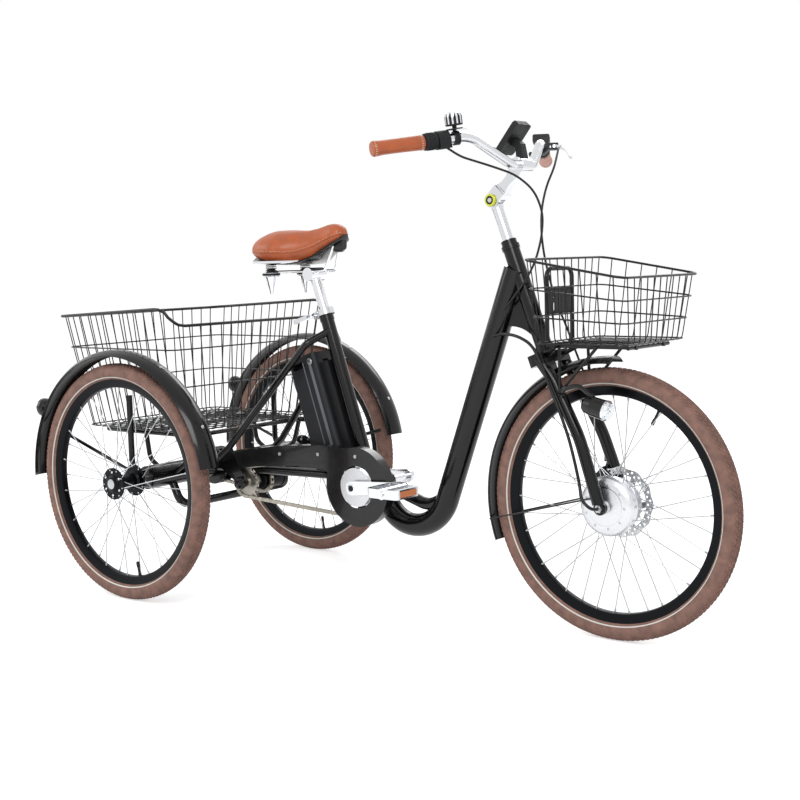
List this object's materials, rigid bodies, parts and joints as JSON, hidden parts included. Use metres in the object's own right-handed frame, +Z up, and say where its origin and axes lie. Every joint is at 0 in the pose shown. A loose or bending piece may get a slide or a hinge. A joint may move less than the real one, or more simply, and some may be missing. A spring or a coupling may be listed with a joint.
{
  "type": "adult tricycle",
  "caption": "Step-through electric tricycle for adults with a front hub motor, rear load basket, front carrier basket, sprung saddle and adjustable stem.",
  "frame": {"origin": "on the floor, at the middle of the length and the width", "axes": "+X forward, +Y to the rider's left, +Z up"},
  "size_m": [1.8404, 0.79, 1.1558],
  "materials": {
    "painted_black": "gloss",
    "bearing_steel": "satin",
    "dock_black": "satin",
    "clamp_alloy": "polished",
    "guard_black": "gloss",
    "chain_steel": "satin",
    "hub_black": "satin",
    "ring_alloy": "satin",
    "wheel_black": "satin",
    "tyre_brown": "matt",
    "lamp_red": "gloss",
    "lamp_black": "satin",
    "lamp_clear": "clear",
    "brake_black": "satin",
    "bar_alloy": "polished",
    "leather_tan": "semi-matt",
    "lever_alloy": "satin",
    "bell_chrome": "polished",
    "saddle_under": "polished",
    "cable_black": "satin"
  },
  "bodies": {
    "frame": {"main_frame": "painted_black", "seat_tube": "painted_black", "axle_beam": "painted_black", "rear_stays": "painted_black", "rack_frame": "painted_black", "bearings": "bearing_steel", "battery_dock": "dock_black", "seat_clamp": "clamp_alloy", "chain_guard": "guard_black", "drive_chain": "chain_steel", "axle_chain": "chain_steel", "rear_basket": "painted_black", "rear_fenders": "painted_black", "rear_lamps": "lamp_red", "frame_bolts": "bearing_steel", "gear_cable": "cable_black", "motor_cable": "cable_black"},
    "battery_pack": {"battery": "dock_black"},
    "seat_lever": {"seat_lever": "clamp_alloy"},
    "saddle": {"seat_post": "bell_chrome", "saddle_base": "saddle_under", "saddle_pad": "leather_tan"},
    "crankset": {"crank_arms": "clamp_alloy", "chainring": "ring_alloy"},
    "pedal_right": {"pedal_right": "clamp_alloy"},
    "pedal_left": {"pedal_left": "clamp_alloy"},
    "hub_driver": {"hub_driver": "chain_steel"},
    "gear_hub": {"gear_hub": "hub_black"},
    "rear_wheel_right": {"rear_wheel_right": "wheel_black", "rear_tyre_right": "tyre_brown", "axle_sprocket": "chain_steel"},
    "rear_wheel_left": {"rear_wheel_left": "wheel_black", "rear_tyre_left": "tyre_brown"},
    "steering": {"fork": "painted_black", "front_axle": "bearing_steel", "front_fender": "painted_black", "front_carrier": "painted_black", "front_basket": "painted_black", "headlight": "lamp_black", "headlight_lens": "lamp_clear", "brake_caliper": "brake_black", "quill_stem": "clamp_alloy", "front_brake_cable": "cable_black"},
    "front_wheel": {"front_wheel": "wheel_black", "front_tyre": "tyre_brown", "hub_motor": "ring_alloy", "brake_rotor": "chain_steel"},
    "handlebar": {"stem_arm": "clamp_alloy", "handlebar": "bar_alloy", "grips": "leather_tan", "lever_mounts": "brake_black", "bell": "bell_chrome", "display": "brake_black", "control_pad": "brake_black"},
    "shifter_sleeve": {"shifter_sleeve": "brake_black"},
    "brake_lever": {"brake_lever": "lever_alloy"},
    "bell_striker": {"bell_striker": "bell_chrome"},
    "throttle": {"throttle": "brake_black"},
    "assist_button": {"assist_button": "brake_black"}
  },
  "joints": [
    {"name": "steering_turn", "type": "hinge", "parent": "frame", "child": "steering", "pos_m": [0.40509, 0, 0.75367], "axis": [-0.3584, 0, 0.9336], "range_deg": [-60, 60], "deforming": ["gear_cable", "motor_cable"]},
    {"name": "stem_tilt", "type": "hinge", "parent": "steering", "child": "handlebar", "pos_m": [0.32195, 0, 0.97026], "axis": [0, -1, 0], "range_deg": [-15, 25], "deforming": ["front_brake_cable"]},
    {"name": "front_wheel_spin", "type": "hinge", "parent": "steering", "child": "front_wheel", "pos_m": [0.61975, 0, 0.3005], "axis": [0, 1, 0], "continuous": true},
    {"name": "rear_wheel_right_spin", "type": "hinge", "parent": "frame", "child": "rear_wheel_right", "pos_m": [-0.58525, -0.35, 0.3005], "axis": [0, 1, 0], "continuous": true},
    {"name": "rear_wheel_left_spin", "type": "hinge", "parent": "frame", "child": "rear_wheel_left", "pos_m": [-0.58525, 0.35, 0.3005], "axis": [0, 1, 0], "continuous": true},
    {"name": "crank_spin", "type": "hinge", "parent": "frame", "child": "crankset", "pos_m": [-0.03425, 0, 0.296], "axis": [0, 1, 0], "continuous": true},
    {"name": "pedal_right_spin", "type": "hinge", "parent": "crankset", "child": "pedal_right", "pos_m": [0.1351, -0.163, 0.31082], "axis": [0, 1, 0], "continuous": true},
    {"name": "pedal_left_spin", "type": "hinge", "parent": "crankset", "child": "pedal_left", "pos_m": [-0.2036, 0.163, 0.28118], "axis": [0, 1, 0], "continuous": true},
    {"name": "hub_driver_spin", "type": "hinge", "parent": "frame", "child": "hub_driver", "pos_m": [-0.41725, -0.084, 0.276], "axis": [0, 1, 0], "continuous": true},
    {"name": "gear_hub_spin", "type": "hinge", "parent": "frame", "child": "gear_hub", "pos_m": [-0.41725, 0, 0.276], "axis": [0, 1, 0], "continuous": true},
    {"name": "seat_post_slide", "type": "slide", "parent": "frame", "child": "saddle", "axis": [-0.3173, 0, 0.9483], "range_m": [-0.05, 0.08]},
    {"name": "seat_lever_swing", "type": "hinge", "parent": "frame", "child": "seat_lever", "pos_m": [-0.22823, -0.024, 0.70533], "axis": [-0.3173, 0, 0.9483], "range_deg": [0, 120]},
    {"name": "battery_slide", "type": "slide", "parent": "frame", "child": "battery_pack", "axis": [-0.3173, 0, 0.9483], "range_m": [0, 0.07]},
    {"name": "shifter_twist", "type": "hinge", "parent": "handlebar", "child": "shifter_sleeve", "pos_m": [0.30938, -0.22265, 1.09142], "axis": [0.4875, 0.8642, 0.1241], "range_deg": [-40, 40]},
    {"name": "brake_lever_pull", "type": "hinge", "parent": "handlebar", "child": "brake_lever", "pos_m": [0.35745, 0.1985, 1.097], "axis": [-0.061, 0.1081, 0.9923], "range_deg": [0, 10], "stiffness_Nm_per_rad": 2, "springref_deg": -11.46},
    {"name": "bell_ring", "type": "hinge", "parent": "handlebar", "child": "bell_striker", "pos_m": [0.35267, -0.17644, 1.09911], "axis": [-0.061, -0.1081, 0.9923], "range_deg": [0, 20], "stiffness_Nm_per_rad": 0.05, "springref_deg": -11.46},
    {"name": "throttle_press", "type": "hinge", "parent": "handlebar", "child": "throttle", "pos_m": [0.30645, 0.22783, 1.09068], "axis": [0.4875, -0.8642, 0.1241], "range_deg": [0, 30], "stiffness_Nm_per_rad": 0.3, "springref_deg": -11.46},
    {"name": "assist_button_press", "type": "slide", "parent": "handlebar", "child": "assist_button", "axis": [0.061, -0.1081, -0.9923], "range_m": [0, 0.001], "stiffness_N_per_m": 600, "springref_m": -0.0005}
  ],
  "couplings": [
    {"joint": "hub_driver_spin", "follows": "crank_spin", "ratio": 2},
    {"joint": "gear_hub_spin", "follows": "rear_wheel_right_spin", "ratio": 1.125}
  ]
}
